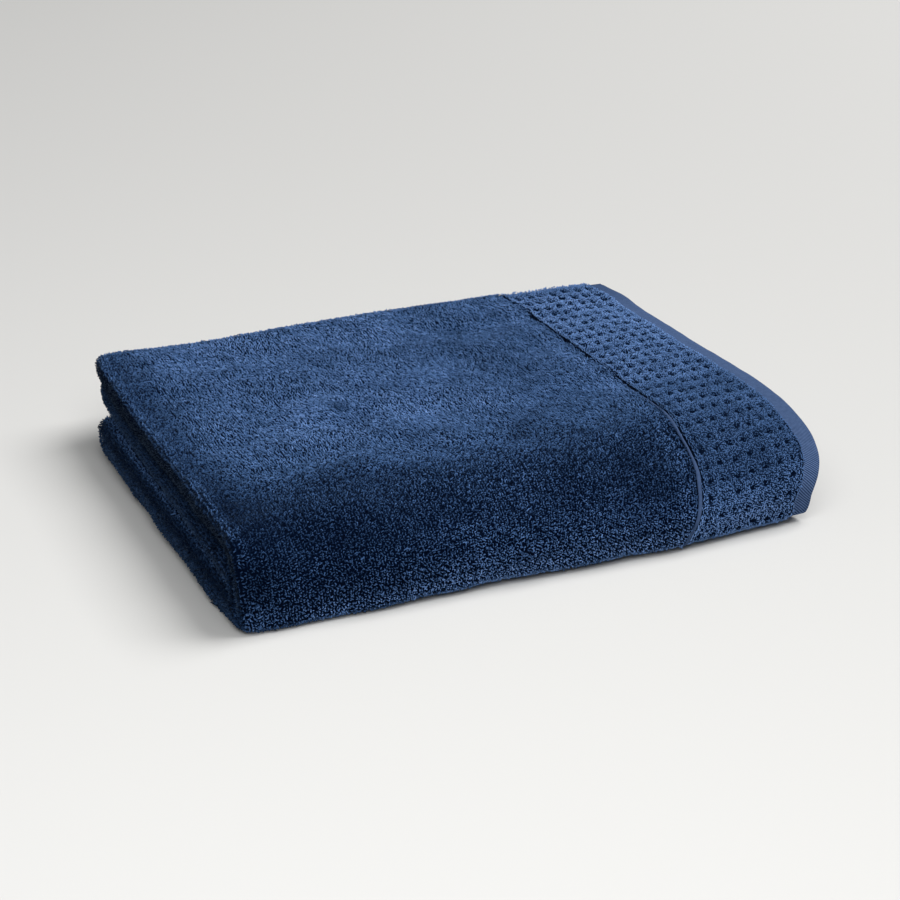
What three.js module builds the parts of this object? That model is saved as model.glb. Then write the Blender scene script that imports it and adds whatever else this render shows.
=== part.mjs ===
// A folded bath sheet, in millimetres, +Z up.
// One piece of terry cloth with a woven border and turned hems. It is folded in thirds along its
// length, one hem outside and the other tucked in, and then in half across its width, with that
// fold at the front. So six layers lie on each other: three in the upper half and three below.
import * as THREE from "three";

// The cloth, lying flat
const FLAT_LENGTH = 1600;
const FLAT_WIDTH = 900;
const TERRY_THICKNESS = 10;
const BORDER_WIDTH = 115;
const BORDER_THICKNESS = 9;
const HEM_WIDTH = 17;
const HEM_THICKNESS = 3;
const GROOVE_WIDTH = 3;
const GROOVE_THICKNESS = 5;
const STEP_RUN = 2;
const SELVEDGE_WIDTH = 6;
const SELVEDGE_SHARE = 0.55;

// The folds: X runs from the left crease to the outer hem, Y from the front fold to the back
const LAYER_PITCH = 13;
const OUTER_PANEL = 547;
const INNER_FOLD = 520;
const UPPER_BACK = 461;
const INNER_SETBACK = 26;
const LOWER_SETOUT = 14;
const CORNER_ROUNDING = 5;
const CORNER_REACH = 20;

// The turn at the left crease: how far it reaches, how thin the pile is pressed inside it and how
// fast it gets so, and how far from it the straight panels begin
const CREASE_REACH = 11;
const CREASE_UNDER = 1.5;
const CREASE_PINCH = 2.2;
const CREASE_CLEAR_OUTER = 22;
const CREASE_CLEAR_INNER = 34;
const CREASE_CROWDING = 1.7;
const INNER_FOLD_CLEAR = 20;

// The left end of the two halves: where the crease lies, how far its face is hollowed at the back
// and at the front, how square its turn is, and how the place shifts near the front and the back
const CREASE = {
  upper: { place: -8, hollow: 4, hollowFront: 6, square: 2.8, shiftFront: 0, shiftBack: 7 },
  lower: { place: -14, hollow: -1, hollowFront: 0, square: 2.4, shiftFront: 9, shiftBack: 1 },
};
const NEAR_BACK = 0.125;
const CREASE_CHANGE = { from: -40, to: 60 };

// The front round at places along X: how far it comes forward and at what height, how deep the
// round is, how thick the layers are in its nose and at what height the innermost one turns there,
// and how square the round is above and below
const FRONT = [
  { x: -10, foremost: -11, height: 16, depth: 46, nose: 36, turn: 33, above: 4.6, below: 4.5 },
  { x: 60, foremost: -12, height: 20, depth: 88, nose: 32, turn: 31, above: 2.6, below: 9 },
  { x: 250, foremost: -9, height: 21, depth: 116, nose: 28, turn: 26, above: 1.8, below: 9 },
  { x: 430, foremost: -9, height: 23, depth: 134, nose: 26, turn: 25, above: 1.55, below: 9 },
  { x: 547, foremost: 1, height: 26, depth: 112, nose: 26, turn: 26, above: 1.95, below: 9 },
];
const NOSE_BEND = 2;

// How far the cloth of the front round is drawn back towards the crease, and below which height
const DRAWN_BACK = [
  { x: 40, by: 0, below: 0 },
  { x: 432, by: 43, below: 0 },
  { x: 547, by: 28, below: 19 },
];

// Swells and hollows of the top, with their half widths; they fade towards the floor
const SWELLS = [
  { x: 0, y: 430, wide: 90, deep: 90, rise: 3.5 },
  { x: 60, y: 280, wide: 200, deep: 90, rise: -2 },
  { x: 176, y: 232, wide: 34, deep: 26, rise: -2.4 },
  { x: 232, y: 112, wide: 48, deep: 22, rise: -1.8 },
  { x: 328, y: 105, wide: 40, deep: 30, rise: -1.8 },
  { x: 94, y: 232, wide: 30, deep: 40, rise: -1.6 },
  { x: 130, y: 116, wide: 36, deep: 24, rise: 1.8 },
  { x: 382, y: 188, wide: 36, deep: 40, rise: -1.8 },
  { x: 386, y: 402, wide: 20, deep: 40, rise: -2.2 },
  { x: 300, y: 330, wide: 90, deep: 60, rise: 1.6 },
  { x: 330, y: 460, wide: 140, deep: 70, rise: 4 },
  { x: 490, y: 300, wide: 60, deep: 110, rise: 2.5 },
];
const SWELL_FADE = 2;

// The top rises a little towards the hem end, and again along its back edge
const HEM_END_RISE = { by: 4, from: 300, to: 547 };
const BACK_EDGE_RISE = { by: 4, from: 380, to: 450, fromX: 60, toX: 220 };

// At the left end the seam between the halves sinks towards the front, and the front leans back
const SEAM_SHIFT = [
  { y: 40, by: -9 },
  { y: 200, by: -4 },
  { y: 400, by: 1 },
];
const SEAM_SHIFT_REACH = 150;
const LEAN = { by: 11, reach: 120, from: 10, to: 110, footing: 0.1 };

// The underside bears on its four corners: between them it is a little hollow
const UNDERSIDE = { hollow: 0.6, x: 226, y: 212, halfX: 150, halfY: 125 };

// Numbers of steps along the cloth and round the fold
const TERRY_STEPS = 14;
const BORDER_STEPS = 5;
const CREASE_STEPS = 11;
const INNER_STEPS = 9;
const INNER_TURN_STEPS = 7;
const TUCKED_STEPS = 7;
const TOP_STEPS = 11;
const ROUND_STEPS = 16;
const BOTTOM_STEPS = 8;
const SELVEDGE_STEP = 3;
const MEASURING_STEPS = 60;

const INNERMOST = 2 * LAYER_PITCH;
const MIDDLE_DEPTH = 2.5 * LAYER_PITCH;
const HALF_HEIGHT = MIDDLE_DEPTH + TERRY_THICKNESS / 2;
const STACK_HEIGHT = 2 * HALF_HEIGHT;
const QUARTER_TURN = Math.PI / 2;

const { degToRad, lerp, smoothstep } = THREE.MathUtils;

function bell(distance, reach) {
  return Math.exp(-((distance / reach) ** 2));
}

// Reads a column of a table at any place, easing from row to row
function readTable(rows, key, place, column) {
  let value = rows[0][column];
  for (let i = 1; i < rows.length; i += 1) {
    const eased = smoothstep(place, rows[i - 1][key], rows[i][key]);
    value += (rows[i][column] - rows[i - 1][column]) * eased;
  }
  return value;
}

// A point at an angle on a rounded square of half sides 1 and a given squareness
function roundedSquare(angle, square) {
  const across = Math.cos(angle);
  const up = Math.sin(angle);
  const size = (Math.abs(across) ** square + Math.abs(up) ** square) ** (-1 / square);
  return { across: across * size, up: up * size };
}

function steps(from, to, count) {
  return Array.from({ length: count }, (_, i) => lerp(from, to, i / (count - 1)));
}

// The left crease at a place round the fold: its turn's right end, its hollow and its squareness
function creaseAt(place) {
  const reading = (half) => ({
    leftmost: half.place + half.shiftFront * place.nearFront + half.shiftBack * place.nearBack,
    hollow: half.hollow + half.hollowFront * place.nearFront,
    square: half.square,
  });
  const upper = reading(CREASE.upper);
  const lower = reading(CREASE.lower);
  return {
    turn: lerp(upper.leftmost, lower.leftmost, place.low) + CREASE_REACH,
    hollow: lerp(upper.hollow, lower.hollow, place.low),
    square: lerp(upper.square, lower.square, place.low),
  };
}

// The folded strip's woven ground, from the outer hem to the tucked one: X, the depth below the
// outer layer, and how thick the pile is over and under it
function stripLine(place) {
  const line = [];
  const lay = (x, depth, thick, under = thick / 2) => line.push({ x, depth, over: thick / 2, under });

  // The outer layer, with its hem, border and groove
  const hemInner = OUTER_PANEL - HEM_WIDTH;
  const groove = OUTER_PANEL - BORDER_WIDTH;
  lay(OUTER_PANEL, 0, HEM_THICKNESS);
  lay(hemInner, 0, HEM_THICKNESS);
  for (const x of steps(hemInner - STEP_RUN, groove + GROOVE_WIDTH + STEP_RUN, BORDER_STEPS)) {
    lay(x, 0, BORDER_THICKNESS);
  }
  lay(groove + GROOVE_WIDTH, 0, GROOVE_THICKNESS);
  lay(groove, 0, GROOVE_THICKNESS);
  for (const x of steps(groove - STEP_RUN, CREASE_CLEAR_OUTER, TERRY_STEPS)) {
    lay(x, 0, TERRY_THICKNESS);
  }

  // The turn at the left crease
  const { turn, hollow, square } = creaseAt(place);
  for (const angle of steps(-QUARTER_TURN, QUARTER_TURN, CREASE_STEPS)) {
    const at = roundedSquare(angle, square);
    const bay = hollow * Math.cos(at.up * QUARTER_TURN);
    const pinch = Math.min(1, CREASE_PINCH * at.across);
    const under = lerp(TERRY_THICKNESS / 2, CREASE_UNDER, pinch);
    lay(turn - CREASE_REACH * at.across + bay, LAYER_PITCH * (1 + at.up), TERRY_THICKNESS, under);
  }

  // The middle panel and the turn at its right end
  const innerEnd = INNER_FOLD - INNER_FOLD_CLEAR;
  for (const share of steps(0, 1, INNER_STEPS)) {
    const x = lerp(CREASE_CLEAR_INNER, innerEnd, share ** CREASE_CROWDING);
    lay(x, INNERMOST, TERRY_THICKNESS);
  }
  const turnRadius = LAYER_PITCH / 2;
  for (const angle of steps(QUARTER_TURN, -QUARTER_TURN, INNER_TURN_STEPS)) {
    const x = INNER_FOLD + turnRadius * Math.cos(angle);
    lay(x, LAYER_PITCH + turnRadius * (1 + Math.sin(angle)), TERRY_THICKNESS);
  }

  // The tucked panel takes what is left of the length, and ends in the thin hem
  const panels = OUTER_PANEL - turn + INNER_FOLD - turn;
  const turns = Math.PI * turnRadius + 2 * (LAYER_PITCH + CREASE_REACH - turnRadius);
  const tuckedEnd = INNER_FOLD - (FLAT_LENGTH - panels - turns);
  for (const x of steps(innerEnd, tuckedEnd + HEM_WIDTH + STEP_RUN, TUCKED_STEPS)) {
    lay(x, LAYER_PITCH, TERRY_THICKNESS);
  }
  lay(tuckedEnd + HEM_WIDTH, LAYER_PITCH, HEM_THICKNESS);
  lay(tuckedEnd, LAYER_PITCH, HEM_THICKNESS);
  return line;
}

// The strip's closed outline: its outer face from end to end, and its inner face back again
function stripOutline(place) {
  const line = stripLine(place);
  const faces = { outer: [], inner: [] };
  line.forEach((point, i) => {
    const before = line[Math.max(i - 1, 0)];
    const after = line[Math.min(i + 1, line.length - 1)];
    const along = new THREE.Vector2(after.x - before.x, after.depth - before.depth).normalize();
    const over = point.over * place.share;
    const under = point.under * place.share;
    faces.outer.push({ x: point.x - along.y * over, depth: point.depth + along.x * over });
    faces.inner.push({ x: point.x + along.y * under, depth: point.depth - along.x * under });
  });
  return [...faces.outer, ...faces.inner.reverse()];
}

// The front round at a place along X and an angle: Y and Z of its outer face, and of the middle of
// the layers behind that
function frontRound(x, angle) {
  const read = (column) => readTable(FRONT, "x", x, column);
  const depth = read("depth");
  const height = read("height");
  const centre = read("foremost") + depth;
  const at = roundedSquare(angle, angle >= 0 ? read("above") : read("below"));
  const rise = angle >= 0 ? STACK_HEIGHT - height : height;
  return {
    centre,
    y: centre - depth * at.across,
    z: height + rise * at.up,
    middleY: centre - (depth - read("nose")) * at.across,
    middleZ: lerp(HALF_HEIGHT, read("turn"), at.across ** NOSE_BEND),
  };
}

// How much of the width is left for the lower half, behind the front round
function lowerBack() {
  const x = OUTER_PANEL / 2;
  let round = 0;
  let last = frontRound(x, QUARTER_TURN);
  for (const angle of steps(QUARTER_TURN, -QUARTER_TURN, MEASURING_STEPS)) {
    const next = frontRound(x, angle);
    round += Math.hypot(next.y - last.y, next.z - last.z);
    last = next;
  }
  return last.centre + FLAT_WIDTH - round - (UPPER_BACK - last.centre);
}
const LOWER_BACK = lowerBack();

// Puts a point of the strip on the fold: the layers lie between the outer face and the middle
function foldOver(point, place) {
  const outward = (MIDDLE_DEPTH - point.depth) / HALF_HEIGHT;
  const round = frontRound(point.x, place.angle);
  if (place.run === "top") {
    const corner = CORNER_ROUNDING * bell(Math.max(point.x, 0), CORNER_REACH);
    const back = UPPER_BACK - INNER_SETBACK * (1 - outward) - corner;
    return { y: lerp(back, round.centre, place.v), z: HALF_HEIGHT * (1 + outward), drawn: 0 };
  }
  if (place.run === "bottom") {
    const back = LOWER_BACK + LOWER_SETOUT * (1 - outward);
    return { y: lerp(round.centre, back, place.v), z: HALF_HEIGHT * (1 - outward), drawn: 1 };
  }
  return {
    y: lerp(round.middleY, round.y, outward),
    z: lerp(round.middleZ, round.z, outward),
    drawn: 1 - smoothstep(round.z, readTable(DRAWN_BACK, "x", point.x, "below"), STACK_HEIGHT),
  };
}

// Lets the folded cloth settle into its swells, its sunken seam, its hollow underside and its lean
function settle(x, y, z) {
  const level = z / STACK_HEIGHT;
  const fromLeft = Math.max(x, 0);
  const { by, from, to, fromX, toX } = BACK_EDGE_RISE;
  let height = STACK_HEIGHT;
  height += HEM_END_RISE.by * smoothstep(x, HEM_END_RISE.from, HEM_END_RISE.to);
  height += by * smoothstep(y, from, to) * smoothstep(x, fromX, toX);
  let settled = level * height;
  for (const swell of SWELLS) {
    const share = bell(x - swell.x, swell.wide) * bell(y - swell.y, swell.deep);
    settled += swell.rise * share * level ** SWELL_FADE;
  }
  const seam = readTable(SEAM_SHIFT, "y", y, "by") * bell(fromLeft, SEAM_SHIFT_REACH);
  settled += seam * 4 * level * (1 - level);
  const alongX = Math.min(1, Math.abs(x - UNDERSIDE.x) / UNDERSIDE.halfX);
  const alongY = Math.min(1, Math.abs(y - UNDERSIDE.y) / UNDERSIDE.halfY);
  settled += UNDERSIDE.hollow * (1 - (alongX * alongY) ** 2) * (1 - level);
  const lean = LEAN.by * bell(fromLeft, LEAN.reach) * (1 - smoothstep(y, LEAN.from, LEAN.to));
  return [x, y + lean * (level - LEAN.footing), settled];
}

// The places round the fold, from the back edge of the upper half to that of the lower
function foldPlaces() {
  const places = [];
  const panel = UPPER_BACK - FRONT[2].depth;
  const selvedge = SELVEDGE_WIDTH / panel;
  const full = (SELVEDGE_WIDTH + SELVEDGE_STEP) / panel;
  const add = (run, v, angle, low, nearFront) => {
    const fromEdge = run === "top" ? v : 1 - v;
    const atEdge = run !== "round" && fromEdge < (selvedge + full) / 2;
    const nearBack = run === "round" ? 0 : Math.max(0, 1 - fromEdge / NEAR_BACK) ** 2;
    const share = atEdge ? SELVEDGE_SHARE : 1;
    places.push({ run, v, angle, low, nearFront, nearBack, share });
  };
  for (const v of [0, selvedge, ...steps(full, 1, TOP_STEPS).slice(0, -1)]) {
    add("top", v, QUARTER_TURN, 0, v ** 2);
  }
  for (const angle of steps(QUARTER_TURN, -QUARTER_TURN, ROUND_STEPS)) {
    const low = 1 - smoothstep(angle, degToRad(CREASE_CHANGE.from), degToRad(CREASE_CHANGE.to));
    add("round", 0, angle, low, 1);
  }
  for (const v of [...steps(0, 1 - full, BOTTOM_STEPS).slice(1), 1 - selvedge, 1]) {
    add("bottom", v, -QUARTER_TURN, 1, (1 - v) ** 1.5);
  }
  return places;
}

// The whole folded sheet as one closed body: the strip's outline carried round the fold
function foldedSheet() {
  const positions = [];
  const rings = foldPlaces().map((place) =>
    stripOutline(place).map((point) => {
      const { y, z, drawn } = foldOver(point, place);
      const x = point.x - drawn * readTable(DRAWN_BACK, "x", point.x, "by");
      positions.push(...settle(x, y, z));
      return positions.length / 3 - 1;
    }),
  );
  const triangles = [];
  const face = (a, b, c, d) => triangles.push(a, b, c, a, c, d);
  const count = rings[0].length;
  for (let i = 1; i < rings.length; i += 1) {
    for (let j = 0; j < count; j += 1) {
      const next = (j + 1) % count;
      face(rings[i - 1][j], rings[i - 1][next], rings[i][next], rings[i][j]);
    }
  }
  const first = rings[0];
  const last = rings[rings.length - 1];
  for (let j = 1; j < count / 2; j += 1) {
    face(first[j - 1], first[count - j], first[count - 1 - j], first[j]);
    face(last[j - 1], last[j], last[count - 1 - j], last[count - j]);
  }
  const geometry = new THREE.BufferGeometry();
  geometry.setAttribute("position", new THREE.Float32BufferAttribute(positions, 3));
  geometry.setIndex(triangles);
  geometry.computeBoundingBox();
  const middle = geometry.boundingBox.getCenter(new THREE.Vector3());
  geometry.translate(-middle.x, -middle.y, -geometry.boundingBox.min.z);
  geometry.computeVertexNormals();
  return geometry;
}

const navyTerry = new THREE.MeshStandardMaterial({ color: 0x33507a, roughness: 0.95, metalness: 0 });
const sheet = new THREE.Mesh(foldedSheet(), navyTerry);
sheet.name = "folded_sheet";

const group = new THREE.Group();
group.add(sheet);

export default group;
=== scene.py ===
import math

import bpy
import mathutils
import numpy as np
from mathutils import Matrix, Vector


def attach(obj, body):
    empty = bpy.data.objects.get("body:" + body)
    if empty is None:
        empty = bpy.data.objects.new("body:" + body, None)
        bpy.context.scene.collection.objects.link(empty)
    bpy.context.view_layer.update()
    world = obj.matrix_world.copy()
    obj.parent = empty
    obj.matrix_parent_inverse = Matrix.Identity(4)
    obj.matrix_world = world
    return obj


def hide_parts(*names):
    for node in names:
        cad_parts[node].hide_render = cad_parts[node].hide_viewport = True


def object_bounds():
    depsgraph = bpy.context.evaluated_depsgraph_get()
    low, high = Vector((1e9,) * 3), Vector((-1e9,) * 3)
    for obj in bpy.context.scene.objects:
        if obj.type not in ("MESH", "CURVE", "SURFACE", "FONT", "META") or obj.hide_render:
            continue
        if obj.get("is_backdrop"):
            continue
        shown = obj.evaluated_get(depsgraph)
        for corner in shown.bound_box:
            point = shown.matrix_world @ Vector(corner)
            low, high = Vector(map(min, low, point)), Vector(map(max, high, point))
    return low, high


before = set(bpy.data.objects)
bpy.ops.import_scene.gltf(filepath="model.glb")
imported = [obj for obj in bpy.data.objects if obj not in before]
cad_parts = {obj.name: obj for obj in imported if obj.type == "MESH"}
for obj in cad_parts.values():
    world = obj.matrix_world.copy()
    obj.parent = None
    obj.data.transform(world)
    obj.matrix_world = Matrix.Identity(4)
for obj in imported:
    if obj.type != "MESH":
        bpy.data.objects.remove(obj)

# %% [markdown]
# # A folded bath sheet
# This lesson dresses one solid, `folded_sheet`, with the cloth that a camera would see: thick navy
# terry with loops on both faces, a woven border of small pits at one end, a thin groove beside it
# and a flat twill hem. The sheet is folded in thirds along its length and then in half across its
# width. Sizes are in millimetres until a mesh is made, because cloth is measured that way, and
# Blender's metres come last.

CAD_LOW, CAD_HIGH = (np.array(corner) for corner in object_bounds())
MM = 0.001
print("solid's box, mm:", np.round((CAD_HIGH - CAD_LOW) / MM, 1))

# %% [markdown]
# The camera comes first. Its place and lens were worked out from the directions in which the
# stack's long and short edges run together: a lens of about 81 mm, looking 23 degrees down and 23
# degrees off the stack's own axis. Nothing is shifted.

# %% The camera
camera_data = bpy.data.cameras.new("camera")
camera_data.lens = 81.04
camera_data.sensor_width = 36.0
camera_data.clip_end = 50.0
CAMERA_PLACE = (-0.6693, -1.5789, 0.750)
LOOKS_DOWN, LOOKS_ASIDE = 22.98, 23.2
camera = bpy.data.objects.new("camera", camera_data)
camera.location = CAMERA_PLACE
camera.rotation_euler = (math.radians(90 - LOOKS_DOWN), 0, math.radians(-LOOKS_ASIDE))
bpy.context.scene.collection.objects.link(camera)
bpy.context.scene.camera = camera
print("camera at", tuple(round(v, 3) for v in camera.location))

# %% [markdown]
# A folded cloth could be simulated, but a simulation seldom lands where a given sheet lies. A fold
# that a hand has smoothed follows simple rules, so it is written as a mapping: a point of the flat
# cloth goes in, its place in the stack comes out. First the sizes of the cloth and of its folds.
# X runs from the left crease to the hem, Y from the front fold to the back.

# %% Sizes of the cloth and of its folds
# The flat cloth, and along it the outer panel, the border with its hem, the hem and the groove
FLAT_LENGTH, FLAT_WIDTH = 1600.0, 900.0
OUTER_PANEL, BORDER_WIDTH, HEM_WIDTH, GROOVE_WIDTH = 547.0, 115.0, 15.5, 3.0
# Places in the stack: the hidden fold and the start of the crease along X, the upper back along Y
INNER_FOLD, CREASE_START, UPPER_BACK = 520.0, 22.0, 461.0
# From layer to layer, and how far the crease reaches past the end of its straight part
LAYER_PITCH, CREASE_REACH = 13.0, 11.0
# Half the thickness of the terry, the border, the groove and the hem
HALF_TERRY, HALF_BORDER, HALF_GROOVE, HALF_HEM = 5.0, 4.5, 2.5, 1.5
# How much of it is pile, on one face of the terry and of the border
PILE, BORDER_PILE = 2.4, 1.5
HEM_INNER = OUTER_PANEL - HEM_WIDTH
GROOVE = OUTER_PANEL - BORDER_WIDTH
MIDDLE_DEPTH = 2.5 * LAYER_PITCH
HALF_HEIGHT = MIDDLE_DEPTH + HALF_TERRY
STACK_HEIGHT = 2 * HALF_HEIGHT
QUARTER_TURN = math.pi / 2

# The front round along X: place, foremost point, its height, depth of the round, thickness of the
# nose, height at which the innermost layer turns, squareness above and below
FOREMOST, NOSE_HEIGHT, ROUND_DEPTH, NOSE, TURN_HEIGHT, SQUARE_ABOVE, SQUARE_BELOW = range(1, 8)
FRONT_ROUND = [
    (-10, -11, 16, 46, 36, 33, 4.6, 4.5),
    (60, -12, 20, 88, 32, 31, 2.6, 9),
    (250, -9, 21, 116, 28, 26, 1.8, 9),
    (430, -9, 23, 134, 26, 25, 1.55, 9),
    (547, 1, 26, 112, 26, 26, 1.95, 9),
]
# Place along X, how far the front is drawn back to the left, and below which height
BY_HOW_MUCH, BELOW_HEIGHT = 1, 2
DRAWN_BACK = [(40, 0, 0), (432, 43, 0), (547, 28, 19)]
# Place along Y, and how far the seam between the halves lies above or below their middle
SEAM = [(40, -9), (200, -4), (400, 1)]
# How far the layers under the outer one step back, above and below
STEP_ABOVE, STEP_BELOW = 26, 14
# How far the back is drawn in at the crease, and at the woven end
CREASE_STEP, WOVEN_STEP = 5, 7
# How much higher the stack is towards the hem and at the back, and how far its left end leans
HIGHER, LEAN = 4, 11
# The hollow of the underside: its middle along X and Y, how far it reaches, and its rise
HOLLOW_X, HOLLOW_Y, HOLLOW_LENGTH, HOLLOW_DEPTH, HOLLOW_RISE = 226, 212, 150, 125, 0.6
# Swells and hollows of the top: X, Y, half widths along X and Y, rise
SWELLS = [
    (0, 430, 90, 90, 3.5), (60, 280, 200, 90, -2), (176, 232, 34, 26, -2.4),
    (232, 112, 48, 22, -1.8), (328, 105, 40, 30, -1.8), (94, 232, 30, 40, -1.6),
    (130, 116, 36, 24, 1.8), (382, 188, 36, 40, -1.8), (386, 402, 20, 40, -2.2),
    (300, 330, 90, 60, 1.6), (330, 460, 140, 70, 4), (490, 300, 60, 110, 2.5),
]
print("cloth", FLAT_WIDTH, "by", FLAT_LENGTH, "mm, border", BORDER_WIDTH, "mm")

# %% Small helpers for shapes
def mix(a, b, share):
    return a + (b - a) * share


def ease(x, start, end):
    share = np.clip((x - start) / (end - start), 0, 1)
    return share * share * (3 - 2 * share)


def bell(distance, reach):
    return np.exp(-((distance / reach) ** 2))


def read(rows, place, column):
    """Reads a column of a table at any place, with an eased step from row to row."""
    value = np.full(np.shape(place), float(rows[0][column]))
    for before, after in zip(rows, rows[1:]):
        value = value + (after[column] - before[column]) * ease(place, before[0], after[0])
    return value


def rounded_square(angle, square):
    """A place on a round that is a circle at 2 and squarer above it."""
    across, up = np.cos(angle), np.sin(angle)
    size = (np.abs(across) ** square + np.abs(up) ** square) ** (-1 / square)
    return across * size, up * size


print("ease at a quarter:", float(ease(0.25, 0, 1)))

# %% [markdown]
# The fold across the width is one number, `turn`: 0 to 1 along the top from the back to the front
# round, 1 to 2 round the front, 2 to 3 back along the bottom. Depth counts inwards from the outer
# layer. So `fold(x, depth, turn)` bends a slab of three layers round the front, and `settle` then
# lets it sink into its swells, as cloth does under its own weight.

# %% The mapping from flat cloth to the stack
def by_side(turn, above, front, below):
    """Picks a value for each turn: above the fold, round the front or below the fold."""
    return np.where(turn < 1, above, np.where(turn > 2, below, front))


def front_angle(turn):
    return QUARTER_TURN - math.pi * np.clip(turn - 1, 0, 1)


def front_round(x, angle):
    """Where the front round is centred, and the outermost and innermost place at an angle."""
    depth, height, foremost, nose, turn_height, square_above, square_below = (
        read(FRONT_ROUND, x, column)
        for column in (
            ROUND_DEPTH, NOSE_HEIGHT, FOREMOST, NOSE, TURN_HEIGHT, SQUARE_ABOVE, SQUARE_BELOW,
        )
    )
    centre = foremost + depth
    upper = angle >= 0
    across, up = rounded_square(angle, np.where(upper, square_above, square_below))
    outer = centre - depth * across, height + np.where(upper, STACK_HEIGHT - height, height) * up
    middle = centre - (depth - nose) * across, mix(HALF_HEIGHT, turn_height, across**2)
    return centre, outer, middle


def settle(x, y, z):
    level = z / STACK_HEIGHT
    left = np.maximum(x, 0)
    height = STACK_HEIGHT + HIGHER * ease(x, 300, OUTER_PANEL)
    height = height + HIGHER * ease(y, 380, 450) * ease(x, 60, 220)
    settled = level * height
    for swell_x, swell_y, wide, deep, rise in SWELLS:
        settled = settled + rise * bell(x - swell_x, wide) * bell(y - swell_y, deep) * level**2
    settled = settled + read(SEAM, y, 1) * bell(left, 150) * 4 * level * (1 - level)
    corner = np.minimum(1, np.abs(x - HOLLOW_X) / HOLLOW_LENGTH)
    corner = corner * np.minimum(1, np.abs(y - HOLLOW_Y) / HOLLOW_DEPTH)
    settled = settled + HOLLOW_RISE * (1 - corner**2) * (1 - level)
    lean = LEAN * bell(left, 120) * (1 - ease(y, 10, 110))
    return np.stack([x, y + lean * (level - 0.1), settled], axis=-1)


def lower_back():
    """Where the lower half ends at the back, from what the front round takes of the width."""
    angle = np.linspace(QUARTER_TURN, -QUARTER_TURN, 60)
    centre, (y, z), _ = front_round(np.full(angle.shape, OUTER_PANEL / 2), angle)
    length = np.hypot(np.diff(y), np.diff(z)).sum()
    return centre[-1] + FLAT_WIDTH - length - (UPPER_BACK - centre[-1])


LOWER_BACK = lower_back()


def fold(x, depth, turn):
    outward = (MIDDLE_DEPTH - depth) / HALF_HEIGHT
    inward = 1 - outward
    centre, outer, middle = front_round(x, front_angle(turn))
    back = UPPER_BACK - STEP_ABOVE * inward - CREASE_STEP * bell(np.maximum(x, 0), 20)
    back = back - WOVEN_STEP * ease(x, GROOVE - 4, GROOVE + 12)
    top_y = mix(back, centre, np.clip(turn, 0, 1))
    low_y = mix(centre, LOWER_BACK + STEP_BELOW * inward, np.clip(turn - 2, 0, 1))
    round_y, round_z = (mix(inmost, outmost, outward) for inmost, outmost in zip(middle, outer))
    y = by_side(turn, top_y, round_y, low_y)
    z = by_side(turn, HALF_HEIGHT * (1 + outward), round_z, HALF_HEIGHT * inward)
    round_drawn = 1 - ease(outer[1], read(DRAWN_BACK, x, BELOW_HEIGHT), STACK_HEIGHT)
    drawn = by_side(turn, 0, round_drawn, 1)
    return settle(x - drawn * read(DRAWN_BACK, x, BY_HOW_MUCH), y, z)


print("the lower half ends at y =", round(float(LOWER_BACK), 1), "mm")

# %% [markdown]
# Along its length the cloth is a strip that turns at the left crease, runs back under itself, turns
# again near the hem and ends tucked inside. Each station of the strip holds its X, its depth, and
# how thick the cloth is over and under its woven ground. Stations lie close where the eye goes, in
# the border and round the crease, and far apart inside, where nothing shows.

# %% The strip's stations
TURNS = np.concatenate([
    np.linspace(0, 1, 240), np.linspace(1, 2, 300)[1:], np.linspace(2, 3, 120)[1:],
])
# Over what length the thickness changes at the hem and at the groove, and the rim's height
HEM_STEP, GROOVE_STEP, RIM_HEIGHT = 2.5, 1.5, 3.2


def crease_place(turn):
    """The left crease at every turn: its straight part's end, its hollow and its squareness."""
    round_low = 1 - ease(front_angle(turn), math.radians(-40), math.radians(60))
    low = by_side(turn, 0, round_low, 1)
    back = np.clip(turn - 2, 0, 1)
    near_front = by_side(turn, np.clip(turn, 0, 1) ** 2, 1, (1 - back) ** 1.5)
    near_back = np.maximum(0, 1 - by_side(turn, turn, 1, 3 - turn) / 0.125) ** 2
    # The upper half's place first, then the lower one's
    leftmost = mix(-8 + 7 * near_back, -14 + 9 * near_front + near_back, low)
    hollow = mix(8 + 7 * near_front, 1, low)
    return leftmost + CREASE_REACH, hollow, mix(2.8, 2.4, low)


def over_ground(x):
    """How far the cloth's ground lies above the middle of the outer layer."""
    value = mix(HALF_HEM, HALF_BORDER - BORDER_PILE, ease(-x, -HEM_INNER, HEM_STEP - HEM_INNER))
    value = mix(value, 0.0, ease(-x, -GROOVE - 2.6, -GROOVE - 1.4))
    value = mix(value, RIM_HEIGHT, ease(-x, -GROOVE - 0.9, -GROOVE + 0.6))
    return mix(value, HALF_TERRY - PILE, ease(-x, -GROOVE + 1.7, -GROOVE + 3.5))


def under_ground(x):
    """How far the cloth's lower face lies below the middle of the outer layer."""
    value = mix(HALF_HEM, HALF_BORDER, ease(-x, -HEM_INNER, HEM_STEP - HEM_INNER))
    far_side = -GROOVE - GROOVE_WIDTH
    value = mix(value, HALF_GROOVE, ease(-x, far_side - GROOVE_STEP, far_side))
    return mix(value, HALF_TERRY, ease(-x, -GROOVE, GROOVE_STEP - GROOVE))


OUTER_X = np.concatenate([
    np.linspace(OUTER_PANEL, HEM_INNER, 9)[:-1],
    np.linspace(HEM_INNER, HEM_INNER - HEM_STEP, 5)[:-1],
    np.linspace(HEM_INNER - HEM_STEP, GROOVE + 5, 50)[:-1],
    np.linspace(GROOVE + 5, GROOVE - 5, 19)[:-1],
    np.linspace(GROOVE - 5, CREASE_START, 74),
])
CREASE_ANGLES = np.linspace(-QUARTER_TURN, QUARTER_TURN, 25)
print(len(OUTER_X), "stations on the outer panel and", len(CREASE_ANGLES), "round the crease")

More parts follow.
